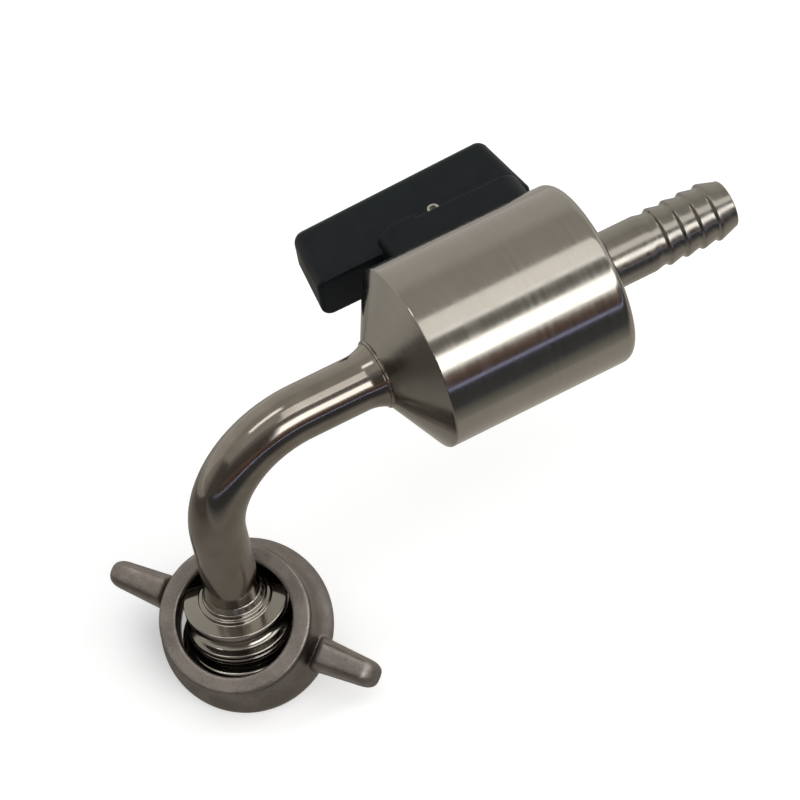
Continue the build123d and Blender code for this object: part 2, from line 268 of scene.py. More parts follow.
# %% Lathe-turned steel
def turned_steel(name, axis, centre, base, roughness, depth, tone=0.05):
    """Steel with lathe lines: bump = lines(distance along the axis) + lines(distance from the axis)."""
    line_gap = 0.10
    f = Finish(name, centre, Metallic=1.0)
    x, y, z = f.axes()
    along, side, up = {"X": (x, y, z), "Y": (y, x, z), "Z": (z, x, y)}[axis]
    radius = (side * side + up * up) ** 0.5
    fine = f.lines(along, line_gap, 2.0) + f.lines(radius, line_gap, 2.0)
    coarse = f.lines(along + radius * 0.7, line_gap * 9, 1.0)
    cloud = f.noise(7.0, 3.0)
    grey = f.mix(f.fit(cloud + coarse * 0.5, 0.45, 1.05, 0.0, 1.0), dim(base, 1 - tone), dim(base, 1 + tone))
    rough = f.fit(f.noise(2.5, 3.0) * 0.6 + coarse * 0.4, 0.35, 0.65, roughness * 0.85, roughness * 1.2)
    normal = f.bump(coarse, depth * 0.8, f.bump(fine, depth))
    return f.set(Base_Color=grey, Roughness=rough, Normal=normal)


steel = rgb(0.325, 0.310, 0.280)
bore_centre, tail_centre = (stem_x, 0, bore_z), (0, 0, 0)
satin_x = turned_steel("satin steel, turned", "X", bore_centre, dim(steel, 0.96), 0.15, 0.00028, tone=0.03)
barb_x = turned_steel("barb steel, turned", "X", bore_centre, dim(steel, 0.78), 0.22, 0.0008)
tail_z = turned_steel("tail steel, turned", "Z", tail_centre, steel, 0.13, 0.0005)
stem_y = turned_steel("stem steel, turned", "Y", bore_centre, steel, 0.18, 0.0008)
print("turned steels made: 4")

# %% [markdown]
# ## Polished tube
# The tube is drawn, bent and buffed. Buffing removes the lines but leaves the surface a little wavy, so the
# streaks of light wander slightly. Large soft noise with a small bump gives that, and faint scratches stop
# the mirror from looking like glass.

# %% Polished steel
tube_steel = rgb(0.272, 0.248, 0.220)
f = Finish("polished steel", Metallic=1.0)
wave = f.noise(9.0, 1.0)
scratch = f.noise(0.5, 3.0, 0.7)
grey = f.mix(f.fit(f.noise(5.0, 3.0), 0.35, 0.65, 0.0, 1.0), dim(tube_steel, 0.92), dim(tube_steel, 1.06))
rough = f.fit(scratch, 0.3, 0.7, 0.10, 0.15)
normal = f.bump(scratch, 0.0006, f.bump(wave, 0.02))
polished = f.set(Base_Color=grey, Roughness=rough, Normal=normal)
print("made", polished.name)

# %% [markdown]
# ## Weld beads
# A bead of weld is laid round the joint in small overlapping pools. Seen close, it is a row of ripples. The
# angle round the pipe drives a sine wave for the height, and heat leaves the metal a little straw-coloured.


# %% Weld steel
def weld_steel(name, axis, centre, ripples):
    """A bead with that many ripples round it: height = sin(ripples times the angle round the axis)."""
    f = Finish(name, centre, Metallic=1.0)
    x, y, z = f.axes()
    side, up = {"X": (y, z), "Z": (x, y)}[axis]
    angle = f.start.maths("ARCTAN2", up, side)
    pools = f.start.maths("SINE", angle * ripples + f.noise(1.5) * 3.0) * 0.5 + 0.5
    heat = f.fit(f.noise(1.2, 3.0), 0.35, 0.65, 0.0, 1.0)
    tint = f.mix(heat, rgb(0.27, 0.24, 0.20), rgb(0.36, 0.335, 0.30))
    rough = f.fit(pools, 0.0, 1.0, 0.34, 0.20)
    return f.set(Base_Color=tint, Roughness=rough, Normal=f.bump(pools, 0.006, f.bump(f.noise(0.3), 0.004)))


neck_weld = weld_steel("weld at the neck", "X", bore_centre, 30)
tail_weld = weld_steel("weld at the tail", "Z", tail_centre, 24)
print("made", neck_weld.name, "and", tail_weld.name)

# %% [markdown]
# ## Cast wing nut
# The nut is cast in stainless steel and blasted, so it is dull and grainy, and warmer than the turned steel.
# Three sizes of noise give it: grains, small dents and slow waves left by the mould. A dark line of painted
# shade lies in the step under the front ring, where shadow falls. Its place is a height along the nut's axis,
# which a dot product measures from the front face.

# %% Cast steel
spin = [joint for joint in frame["joints"] if joint["name"] == "nut_spin"][0]
axis = -Vector(spin["axis"]).normalized()
step_place, step_core, step_fade = 2.9, 0.50, 1.60

f = Finish("cast steel", Metallic=1.0)
grain = f.noise(0.35, 3.0, 0.65)
dents = f.noise(1.6, 2.0)
waves = f.noise(6.0, 2.0)
low, high = rgb(0.200, 0.179, 0.166), rgb(0.280, 0.253, 0.238)
tone = f.mix(f.fit(grain * 0.4 + waves * 0.6, 0.36, 0.64, 0.0, 1.0), low, high)
along = f.dot(f.point, tuple(axis))
below_face = axis.dot(Vector(spin["pos_m"])) / MM - along
# Painted shade: a dark line in the step under the front ring stands in for the shadow there.
painted_step_shade = f.fit(f.start.maths("ABSOLUTE", below_face - step_place), step_core, step_fade, 0.75, 0.0)
tone = f.mix(painted_step_shade, tone, rgb(0.040, 0.034, 0.031))
rough = f.fit(dents, 0.3, 0.7, 0.36, 0.50)
normal = f.bump(grain, 0.030, f.bump(dents, 0.06, f.bump(waves, 0.12)))
cast = f.set(Base_Color=tone, Roughness=rough, Normal=normal)
print("made", cast.name)

# %% [markdown]
# ## Moulded handle
# The handle is black nylon from a spark-eroded mould. Its grain is too fine to see as bumps, but it breaks
# up the shine. Where hands and sleeves rub, the grain is polished, which slow noise in the roughness shows.
# A Bevel node turns the normals near an edge, so that moulded edges catch a thin line of light. Where its
# normal differs from the true one there is an edge, and there a paler colour is painted in as a highlight.

# %% Black plastic
f = Finish("black plastic", Metallic=0.0, Specular_IOR_Level=0.17)
grain = f.noise(0.22, 2.0, 0.6)
rubbed = f.noise(6.0, 3.0)
shade = f.fit(f.noise(3.0, 2.0), 0.3, 0.7, 0.0, 1.0)
black = f.mix(shade, rgb(0.0032, 0.0068, 0.0095), rgb(0.0055, 0.0096, 0.0130))
rough = f.fit(rubbed + grain * 0.3, 0.4, 0.85, 0.34, 0.50)
edge_radius = 0.40
soft_edge = f.start.node("ShaderNodeBevel", {"samples": 8}, {"Radius": edge_radius * MM})
true_normal = f.start.node("ShaderNodeNewGeometry", out="Normal")
flatness = f.dot(soft_edge, true_normal)
# Painted highlight: near an edge the black is made paler, as if the edge caught the light.
black = f.mix(f.fit(flatness, 0.75, 0.995, 0.6, 0.0), black, rgb(0.045, 0.049, 0.054))
plastic = f.set(Base_Color=black, Roughness=rough, Normal=f.bump(grain, 0.012, soft_edge))
print("made", plastic.name)

# %% [markdown]
# ## Rubber and seats
# Sealing rubber is black and dull with a faint bloom. The seats and the thrust washer are PTFE, a waxy
# white plastic. Little of either shows, so two or three noises each are enough.

# %% Rubber and PTFE
f = Finish("black rubber", Metallic=0.0)
bloom = f.noise(2.2, 4.0, 0.6)
tone = f.mix(f.fit(bloom, 0.35, 0.7, 0.0, 1.0), rgb(0.012, 0.012, 0.012), rgb(0.032, 0.031, 0.030))
rough = f.fit(bloom, 0.3, 0.7, 0.62, 0.80)
rubber = f.set(Base_Color=tone, Roughness=rough, Normal=f.bump(f.noise(0.4), 0.01))

f = Finish("white seat", Metallic=0.0)
tone = f.mix(f.noise(1.5, 3.0), rgb(0.70, 0.70, 0.67), rgb(0.80, 0.80, 0.78))
rough = f.fit(f.noise(0.8), 0.3, 0.7, 0.38, 0.52)
ptfe = f.set(Base_Color=tone, Roughness=rough, Normal=f.bump(f.noise(0.5), 0.006))
print("made", rubber.name, "and", ptfe.name)

# %% [markdown]
# ## Small steel pieces
# The slip ring, the stop pin and the set screw are plain hard steel with short scratches. Noise pulled out
# along one direction gives such scratches, so one function makes the steel of the ring and that of the rest.


# %% Small steel pieces
def hard_steel(name, base, roughness):
    """Plain steel with short scratches: noise pulled out along one direction."""
    f = Finish(name, Metallic=1.0)
    scratch = f.noise(0.4, 3.0, 0.7, (1.0, 4.0, 0.5))
    grey = f.mix(f.fit(f.noise(1.0, 3.0), 0.3, 0.7, 0.0, 1.0), dim(base, 0.9), dim(base, 1.1))
    rough = f.fit(scratch, 0.3, 0.7, roughness * 0.8, roughness * 1.3)
    return f.set(Base_Color=grey, Roughness=rough, Normal=f.bump(scratch, 0.004))


spring = hard_steel("spring steel", rgb(0.28, 0.27, 0.25), 0.25)
screw = hard_steel("screw steel", rgb(0.48, 0.47, 0.45), 0.20)
print("made", spring.name, "and", screw.name)

# %% [markdown]
# ## Surfaces from numbers
# A piece made here is a grid of points: one number runs along its profile, the other round it. The whole
# grid is worked out at once, and the faces join neighbouring points.


# %% From a grid to a piece
def grid_faces(rows, columns, wrap_rows, wrap_columns):
    """Four-cornered faces between neighbours of a grid; a wrapped way joins its last line to its first."""
    i = np.arange(rows if wrap_rows else rows - 1)[:, None]
    j = np.arange(columns if wrap_columns else columns - 1)[None, :]
    i2, j2 = (i + 1) % rows, (j + 1) % columns
    corners = [i * columns + j, i * columns + j2, i2 * columns + j2, i2 * columns + j]
    return np.stack([np.broadcast_to(c, (i.size, j.size)) for c in corners], axis=-1).reshape(-1, 4)


def dress_mesh(mesh, material):
    """Gives a mesh one material and smooth shading."""
    mesh.materials.clear()
    mesh.materials.append(material)
    mesh.polygons.foreach_set("use_smooth", np.ones(len(mesh.polygons), bool))
    mesh.update()


def closed_piece(name, grid, material):
    """A piece from a grid of points in millimetres that closes on itself both ways."""
    faces = grid_faces(*grid.shape[:2], True, True)
    mesh = bpy.data.meshes.new(name)
    mesh.from_pydata((grid.reshape(-1, 3) * MM).tolist(), [], faces.tolist())
    dress_mesh(mesh, material)
    print(name, "points:", grid.shape[0] * grid.shape[1])
    return add_object(name, mesh)


print("faces in a closed grid of 3 by 4 points:", len(grid_faces(3, 4, True, True)))

# %% [markdown]
# A profile has sharp corners on paper, and no real piece has them, so each corner is first replaced by a
# small arc. The rounded profile is then carried round an axis, as a lathe does. Most turned pieces of this
# valve lie along its bore, so one helper lays them there.


# %% Profiles carried round an axis
def rounded(corners, steps=5):
    """A closed profile whose corners are arcs. Each corner is (radius from the axis, height, rounding).
    The arc is the curve (1-t)^2 a + 2t(1-t) b + t^2 c, with b the corner and a, c on its two sides."""
    points = np.array([c[:2] for c in corners], float)
    cut = np.array([c[2] for c in corners], float)[:, None]
    before, after = np.roll(points, 1, axis=0) - points, np.roll(points, -1, axis=0) - points
    reach_a = np.linalg.norm(before, axis=1, keepdims=True)
    reach_c = np.linalg.norm(after, axis=1, keepdims=True)
    largest_share = 0.48
    a = points + before / reach_a * np.minimum(cut, reach_a * largest_share)
    c = points + after / reach_c * np.minimum(cut, reach_c * largest_share)
    t = np.linspace(0, 1, steps)[None, :, None]
    arcs = (1 - t) ** 2 * a[:, None] + 2 * t * (1 - t) * points[:, None] + t ** 2 * c[:, None]
    return arcs.reshape(-1, 2)


def once_round(count):
    """That many angles, evenly spaced round a circle."""
    return np.linspace(0, 2 * np.pi, count, endpoint=False)


def turned_points(profile, columns):
    """A profile carried round the Z axis: x = r cos v, y = r sin v, z = h."""
    v = once_round(columns)
    r, h = profile[:, :1], profile[:, 1:]
    return np.stack([r * np.cos(v), r * np.sin(v), h + 0 * v], axis=-1)


def along_bore(grid):
    """Lays what was turned round Z along the bore: heights become distances from the stem's axis."""
    return np.stack([grid[..., 2] + stem_x / MM, -grid[..., 1], grid[..., 0] + bore_z / MM], axis=-1)


print("points of a rounded square:", len(rounded([(1, 0, 0.1), (2, 0, 0.1), (2, 1, 0.1), (1, 1, 0.1)])))

# %% [markdown]
# ## Hose barb
# Four ribs grip the hose: it slides on over the gentle side and can't slip back over the steep one. The
# packed barb has sharp rib edges. A real one is deburred and tumbled, so the edges shine as soft lines.

# %% Hose barb piece
rib_low, rib_top, rib_pitch, ribs, first_crest = 4.95, 5.45, 3.35, 4, 30.8
barb_bore_r, shank_r, shoulder_r = 3.51, 5.31, 6.78
shoulder_start, shoulder_end, barb_end = 9.64, 11.17, 44.79
corners = [
    (3.55, shoulder_start, 0.1),
    (shoulder_r, shoulder_start, 0.15),
    (shoulder_r, shoulder_end, 0.15),
    (shank_r, shoulder_end, 0.1),
    (shank_r, 28.0, 0.3),
    (rib_low, 29.5, 0.5),
]
for rib in range(ribs):
    crest = first_crest + rib * rib_pitch
    corners += [(rib_low, crest - 0.42, 0.25), (rib_top, crest - 0.02, 0.22), (rib_top, crest + 0.28, 0.5)]
    if rib < ribs - 1:
        corners += [(rib_low, crest + rib_pitch - 0.85, 0.5)]
corners += [(4.5, 44.1, 0.5), (4.35, barb_end, 0.45), (barb_bore_r, barb_end, 0.2), (barb_bore_r, 11.5, 0.1)]
barb_piece = closed_piece("barb", along_bore(turned_points(rounded(corners), 160)), barb_x)
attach(barb_piece, "valve")
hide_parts("hose_barb")

# %% [markdown]
# ## Neck flare
# Where the tube meets the cone it opens like a small trumpet. A power curve starts it flat and a hair below
# the tube's surface, so no line shows where it leaves the tube.

# %% Neck flare surface
start_r, rise, power = 4.985, 1.005, 2.2
flare_start, flare_length, flare_inner_r = -29.59, 3.98, 4.96
share = np.linspace(0, 1, 40)
flare = np.stack([start_r + rise * share ** power, flare_start + flare_length * share], axis=1)
inner = [[flare_inner_r, flare_start + flare_length], [flare_inner_r, flare_start]]
flare_grid = turned_points(np.concatenate([flare, inner]), 160)
neck_flare = closed_piece("neck_flare", along_bore(flare_grid), polished)
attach(neck_flare, "valve")
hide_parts("neck_ferrule")

# %% [markdown]
# ## Tail piece
# The tail is turned from bar and welded to the tube: a small step, two collars with a waist between them,
# and the flange that carries the washer. Every edge is broken and every inside corner has the tool's radius.
# Those small curves are what draws the bright and dark rings, so the profile gives each corner its own.

# %% Tail piece surface
tube_cut_r, boss_r, upper_r, waist_r, lower_r, neck_r = 5.04, 6.49, 9.34, 7.3, 9.64, 7.9
seat_flange_r, washer_r, port_r, lip_height = 11.09, 9.64, 4.01, 1.5
collar_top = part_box("tail_piece")[1].z / MM - lip_height
corners = [
    (tube_cut_r, -1.49, 0.05),
    (5.55, -1.49, 0.25),
    (5.74, -1.2, 0.2),
    (5.74, -0.7, 0.25),
    (boss_r, -0.68, 0.25),
    (boss_r, 0.0, 0.3),
    (upper_r, 0.0, 0.35),
    (upper_r, 1.69, 0.35),
    (waist_r, 1.69, 0.9),
    (waist_r, 3.9, 1.2),
    (8.1, 4.9, 0.6),
    (lower_r, 5.2, 0.30),
    (lower_r, 6.0, 0.16),
    (9.36, 6.2, 0.1),
    (lower_r, 6.4, 0.16),
    (lower_r, 7.29, 0.35),
    (neck_r, 7.29, 0.4),
    (neck_r, 9.0, 0.5),
    (10.3, 9.0, 0.3),
    (seat_flange_r, 9.8, 0.3),
    (seat_flange_r, 11.3, 0.2),
    (10.7, 11.69, 0.2),
    (washer_r, 11.69, 0.08),
    (washer_r, 10.91, 0.08),
    (port_r, 10.91, 0.2),
    (port_r, 5.02, 0.1),
    (tube_cut_r, 5.02, 0.1),
]
profile = rounded([(r, collar_top - h, cut) for r, h, cut in corners], 6)[::-1]
tail_piece = closed_piece("tail", turned_points(profile, 192), tail_z)
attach(tail_piece, "valve")
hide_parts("tail_piece")

# %% [markdown]
# ## Wing nut
# The nut is one casting: a threaded skirt, a web that bears on the tail, and two wings to turn it by hand.
# The skirt is a turned surface, and the points of its bore are moved in and out to draw the thread, so no
# cutter is needed. Each wing is a rounded bar. The three closed shells are made first and joined later.


# %% Nut shell with its thread
def nut_shell():
    """A profile round the axis. In the bore, r = bore_r + half_depth (1 + cos(2 pi h / pitch + v))."""
    hole_r, ring_r, step_r, skirt_r = 10.47, 13.6, 12.75, 15.78
    bore_r, pitch, half_depth, run_out = 12.08, 1.814, 0.58, 0.8
    thread_top, thread_end, web_below = -5.6, -12.9, -1.52
    rows, columns = 72, 256
    corners = [
        (hole_r, -1.48, 0.1),
        (hole_r, -0.02, 0.35),
        (ring_r, -0.02, 0.2),
        (ring_r, -0.75, 0.1),
        (step_r, -1.1, 0.2),
        (step_r, -1.9, 0.3),
        (13.3, -2.6, 0.4),
        (13.35, -5.6, 2.5),
        (13.9, -8.6, 2.5),
        (15.5, -10.95, 0.6),
        (skirt_r, -11.6, 0.5),
        (skirt_r, -13.2, 0.6),
        (15.1, -13.98, 0.6),
        (13.1, -13.98, 0.5),
        (12.1, -13.0, 0.3),
    ]
    outside = rounded(corners)
    bore = np.stack([np.full(rows, bore_r), np.linspace(thread_end, web_below, rows)], axis=1)
    grid, v = turned_points(np.concatenate([outside, bore]), columns), once_round(columns)
    h = grid[..., 2]
    inside = np.zeros(grid.shape[:1], bool)
    inside[len(outside):] = True
    fade = np.clip((thread_top - h) / run_out, 0, 1) * np.clip((h - thread_end) / run_out, 0, 1)
    depth = half_depth * (1 + np.cos(2 * np.pi * (h / pitch) + v)) * fade * inside[:, None]
    grid[..., 0] += depth * np.cos(v)
    grid[..., 1] += depth * np.sin(v)
    return grid.reshape(-1, 3), grid_faces(*grid.shape[:2], True, True)


shell_points, shell_faces = nut_shell()
print("nut shell points:", len(shell_points))

# %% [markdown]
# A wing is a flat bar with round corners that grows out of the skirt and closes in a blunt end. A power of
# cos and sin below one turns a circle into a square with round corners, which is just such a cross-section.


# %% Nut wing
def signed_power(number, power):
    """The size of a number raised to a power, with its sign kept."""
    return np.sign(number) * np.abs(number) ** power


def nut_wing(turn):
    """A rounded bar along the radius s: z = middle + half height S (0.35 + 0.65 k) and
    y = w(s) k C (1 - 0.035 (z - middle)). C and S are cos v and sin v raised to q with their sign kept,
    and k = (1 - e^p)^(1/p) closes the end. The lower edge of the bar reaches further out than the upper."""
    root, tip, end_start, p, q = 12.9, 25.55, 22.9, 2.6, 0.42
    u = np.linspace(0, 1, 72)[:, None]
    v = once_round(64)[None, :]
    s = root + (tip - root) * np.sin(u * np.pi / 2)
    top_s, top_h = [root, 14.1, 14.6, 14.95, 15.6, 24.2, tip], [-9.6, -9.2, -6.6, -5.15, -4.85, -5.5, -5.9]
    top = np.interp(s, top_s, top_h)
    low = np.interp(s, [root, 15.5, tip], [-12.9, -12.7, -11.6])
    wide = np.interp(s, [root, 16.2, tip], [3.35, 2.95, 2.25])
    end = np.clip((s - end_start) / (tip + 0.01 - end_start), 0, 1)
    k = (1 - end ** p) ** (1 / p)
    middle_h, half_h = (top + low) / 2, (top - low) / 2
    z = middle_h + half_h * signed_power(np.sin(v), q) * (0.35 + 0.65 * k)
    y = wide * k * signed_power(np.cos(v), q) * (1 - 0.035 * (z - middle_h))
    lean, lean_start, lean_run = 1.25, 16, 9
    below_top = np.clip((middle_h + half_h - z) / (2 * half_h), 0, 1)
    x = s + lean * below_top * np.clip((s - lean_start) / lean_run, 0, 1)
    cos_turn, sin_turn = math.cos(math.radians(turn)), math.sin(math.radians(turn))
    grid = np.stack([x * cos_turn - y * sin_turn, x * sin_turn + y * cos_turn, z], axis=-1)
    rows, columns = grid.shape[:2]
    points = grid.reshape(-1, 3)
    caps = np.stack([points[:columns].mean(0), points[-columns:].mean(0)])
    ring = np.arange(columns)
    nearby, last = np.roll(ring, -1), (rows - 1) * columns
    start_cap = np.stack([ring, nearby, np.full(columns, rows * columns)], axis=1)
    end_cap = np.stack([last + nearby, last + ring, np.full(columns, rows * columns + 1)], axis=1)
    quads = grid_faces(rows, columns, False, True)
    return np.concatenate([points, caps]), quads, np.concatenate([start_cap, end_cap])


wing_turns = (67.5, 247.5)
wings = [nut_wing(turn) for turn in wing_turns]
print("wing points:", [len(points) for points, quads, triangles in wings])

# %% [markdown]
# ## Melting the shells together
# A casting has soft inside corners where its wings grow out of the skirt. Laying the three shells in a fine
# voxel grid melts them into one closed surface, and a little smoothing softens its corners. This happens in
# the nut's own frame, where the voxels line up with its flat front.

# %% Melt the shells together
voxel, smoothing, smooth_rounds = 0.24, 0.5, 3
all_points, all_faces, count = [shell_points], shell_faces.tolist(), len(shell_points)
for points, quads, triangles in wings:
    all_points.append(points)
    all_faces += (quads + count).tolist() + (triangles + count).tolist()
    count += len(points)
rough_mesh = bpy.data.meshes.new("nut shells")
rough_mesh.from_pydata(np.concatenate(all_points).tolist(), [], all_faces)
rough_nut = add_object("nut shells", rough_mesh)
melt = rough_nut.modifiers.new("melt", "REMESH")
melt.mode, melt.voxel_size = "VOXEL", voxel
soften = rough_nut.modifiers.new("soften", "SMOOTH")
soften.factor, soften.iterations = smoothing, smooth_rounds
bpy.context.view_layer.update()
evaluated = rough_nut.evaluated_get(bpy.context.evaluated_depsgraph_get())
nut_mesh = bpy.data.meshes.new_from_object(evaluated)
bpy.data.objects.remove(rough_nut)
print("nut faces:", len(nut_mesh.polygons))

# %% [markdown]
# ## The nut on the valve
# The nut is loose and leans on the tail. Its axis and its front face come from the joint that spins it, so
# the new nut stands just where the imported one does.

# %% Put the nut in place
tilt, azimuth = math.acos(axis.z), math.atan2(-axis.y, -axis.x)
lean = Matrix.Rotation(azimuth, 4, "Z") @ Matrix.Rotation(-tilt, 4, "Y")
nut_mesh.transform(Matrix.Translation(spin["pos_m"]) @ lean @ Matrix.Scale(MM, 4))
dress_mesh(nut_mesh, cast)
nut_piece = add_object("cast_nut", nut_mesh)
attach(nut_piece, "nut")
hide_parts("wing_nut")
print("nut tilt in degrees:", round(math.degrees(tilt), 2))

# %% [markdown]
# ## Each finish on its piece
# A CAD piece keeps its shape and only changes the material in its slot. Every piece is in this table, also
# those inside the body, because the valve can be taken apart.

# %% Dress the pieces
finish_of = {
    "valve_body": satin_x,
    "end_plug": satin_x,
    "hose_barb": barb_x,
    "neck_ferrule": polished,
    "tail_piece": tail_z,
    "stem": stem_y,
    "elbow_tube": polished,
    "ball": polished,
    "neck_weld": neck_weld,
    "tail_weld": tail_weld,
    "wing_nut": cast,
    "slip_ring": spring,
    "set_screw": screw,
    "stop_pin": screw,
    "handle": plastic,
    "thrust_washer": ptfe,
    "seat_inlet": ptfe,
    "seat_outlet": ptfe,
    "seal_washer": rubber,
    "stem_orings": rubber,
    "plug_oring": rubber,
}
for name, material in finish_of.items():
    for material_slot in nodes[name].material_slots:
        material_slot.material = material
print("pieces without a finish:", sorted(set(nodes) - set(finish_of)))

# %% [markdown]
# ## The studio
# Polished metal shows what stands round it, so the look is made by the room. A white room would turn the
# valve flat and pale. As in a product studio, two long lamps in front and a small one overhead give the
# bright streaks, and dark and grey sheets give the bands between them. They run along the valve's bore, so
# that each turned piece shows them as bands. The camera doesn't see the sheets, and they cast no shadow.

# %% Where things stand round the bore
valve_x, floor_gap = 0.06, 0.0002
middle = Vector((valve_x, 0.0, bore_z))
floor_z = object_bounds()[0][2] - floor_gap


def across(angle, distance):
    """A point at that distance from the bore, angle degrees up from the horizon in front and over the top."""
    turn = math.radians(angle)
    return middle + Vector((0, -math.cos(turn), math.sin(turn))) * distance


def arc(low, high, distance, steps=12):
    """Points round the bore between two angles."""
    return [across(angle, distance) for angle in np.linspace(low, high, steps)]


print("floor at z mm:", round(floor_z / MM, 2))

# %% [markdown]
# ## Sheets
# A sheet in a studio is a board or a cloth that the metal mirrors. Here each is a strip of faces along a
# path, and its paint glows by itself, so that its brightness is just what the mirror shows. The paint is a
# ramp over the sheet's length, because a real board shades from one end to the other too.


# %% Sheets that only reflections show
def banded(name, bands):
    """A glowing paint that goes from one colour to the next along the sheet: a ramp over its UV height."""
    material, tree = node_material(name)
    start = Socket(tree)
    along = start.node("ShaderNodeSeparateXYZ", {}, {"Vector": start.node("ShaderNodeUVMap")}, out=1)
    paint = start.node("ShaderNodeValToRGB", {"stops": bands}, {"Fac": along})
    glow = start.node("ShaderNodeEmission", {}, {"Color": paint, "Strength": 1.0})
    tree.links.new(glow.socket, tree.nodes["Material Output"].inputs["Surface"])
    return material


def sheet(name, path, low, high, bands, axis=0):
    """A sheet that follows a path, and reaches from low to high along one axis, in metres.
    The grid has the path's points along one way and the two sides along the other."""
    path = np.array([tuple(point) for point in path], float)
    run = np.concatenate([[0.0], np.cumsum(np.linalg.norm(np.diff(path, axis=0), axis=1))])
    run /= run[-1]
    grid = np.repeat(path[:, None, :], 2, axis=1)
    grid[:, :, axis] = np.array([low, high])
    count = len(path)
    first = np.arange(count - 1) * 2
    faces = np.stack([first, first + 1, first + 3, first + 2], axis=1)
    mesh = bpy.data.meshes.new(name)
    mesh.from_pydata(grid.reshape(-1, 3).tolist(), [], faces.tolist())
    heights = np.stack([np.tile([0.0, 1.0], count), np.repeat(run, 2)], axis=1)
    layer = mesh.uv_layers.new(name="height")
    layer.data.foreach_set("uv", heights[faces.ravel()].ravel())
    mesh.materials.append(banded(name, bands))
    made = add_object(name, mesh)
    made.visible_camera = False
    made.visible_shadow = False
    made.visible_diffuse = False


print("sheet helpers ready")

# %% [markdown]
# ## The dark front and the mat
# The front is dark, which gives the metal its depth, and a bluish stretch of it draws the cool line on the
# tube. Below the valve a sheet stands for the floor in its shadow, so its paint is painted shade in the
# reflections: dark at the left, pale at the right. The mat behind is pale.

# %% The dark front and the mat
mat_lift, side, sheet_far = 0.0008, 1.6, 0.95
mat_z = floor_z + mat_lift
front = [Vector((0, y, mat_z)) for y in (-0.058, -0.10, -0.30, -0.50, -0.72, -0.90)]
front += [across(angle, sheet_far) for angle in (-2.0, 4.0, 9.0, 13.5)]
front_bands = [
    (0.0, rgb(0.42, 0.40, 0.36)),
    (0.045, rgb(0.10, 0.10, 0.10)),
    (0.30, rgb(0.06, 0.065, 0.065)),
    (0.38, rgb(0.14, 0.13, 0.15)),
    (0.42, rgb(1.10, 1.20, 1.90)),
    (0.54, rgb(1.10, 1.20, 1.90)),
    (0.60, rgb(0.12, 0.09, 0.08)),
    (0.84, rgb(0.14, 0.09, 0.07)),
    (1.0, rgb(0.32, 0.22, 0.16)),
]
sheet("dark front", front, -side, side, front_bands)
# Painted shade: this sheet shows, in reflections only, the floor under the valve darkened as if in its shadow.
floor_shade_path = [Vector((x, 0, mat_z)) for x in (-side, -0.13, -0.05, 0.025, 0.05, side)]
floor_shade_bands = [
    (0.0, rgb(0.12, 0.11, 0.10)),
    (0.455, rgb(0.16, 0.145, 0.13)),
    (0.485, rgb(0.34, 0.32, 0.29)),
    (0.507, rgb(0.36, 0.34, 0.30)),
    (0.52, rgb(0.57, 0.53, 0.47)),
    (1.0, rgb(0.60, 0.56, 0.50)),
]
sheet("painted floor shade under the valve", floor_shade_path, -0.058, 0.13, floor_shade_bands, axis=1)
mat_back = [Vector((0, y, mat_z)) for y in (0.13, 0.25, 0.70)]
back_bands = [(0.0, rgb(0.55, 0.52, 0.47)), (1.0, rgb(0.80, 0.77, 0.72))]
sheet("mat behind the valve", mat_back, -side, side, back_bands)
print("sheets in front and below: 3")

# %% [markdown]
# ## The wall, the window bar and the ceiling
# At the left stands a wall that is dark in front, with one more dark sheet over it. A bar crosses the window
# between its two lamps. The ceiling is a warm grey and fills the broad, quiet part of the body.

# %% The wall, the window bar and the ceiling
ceiling_far, bar_start = 1.02, -0.16
wall = [Vector((-1.5, y, 0)) for y in (-1.4, -0.2, 0.35, 1.4)]
wall_bands = [
    (0.0, rgb(0.12, 0.11, 0.10)),
    (0.5, rgb(0.17, 0.155, 0.14)),
    (0.7, rgb(0.50, 0.47, 0.43)),
    (1.0, rgb(0.6, 0.57, 0.52)),
]
sheet("left wall", wall, floor_z, 0.9, wall_bands, axis=2)
side_bands = [(0.0, rgb(0.13, 0.11, 0.10)), (0.5, rgb(0.16, 0.14, 0.13)), (1.0, rgb(0.42, 0.40, 0.38))]
sheet("dark left", arc(12.0, 62.0, sheet_far), -1.5, bar_start, side_bands)
bar_bands = [(0.0, rgb(0.40, 0.38, 0.34)), (0.5, rgb(0.26, 0.26, 0.24)), (1.0, rgb(0.40, 0.38, 0.34))]
sheet("window bar", arc(40.0, 56.0, sheet_far), bar_start, 2.0, bar_bands)
ceiling_bands = [
    (0.0, rgb(0.62, 0.59, 0.54)),
    (0.50, rgb(0.58, 0.55, 0.49)),
    (0.62, rgb(0.76, 0.73, 0.66)),
    (1.0, rgb(0.82, 0.78, 0.72)),
]
sheet("grey ceiling", arc(62.0, 184.0, ceiling_far, 20), -2.0, 2.5, ceiling_bands)
print("sheets beside and above: 4")

# %% [markdown]
# ## Lamps
# Two long lamps stand in for a window with a bar across it, and a short one hangs overhead. A reflection
# shows a lamp's brightness and not its power, so the power is worked out from the brightness and the area.


# %% Lamps
lamp_far, lamp_right = 0.90, 1.6
white, warm = (1.0, 1.0, 1.0), (1.0, 0.985, 0.955)


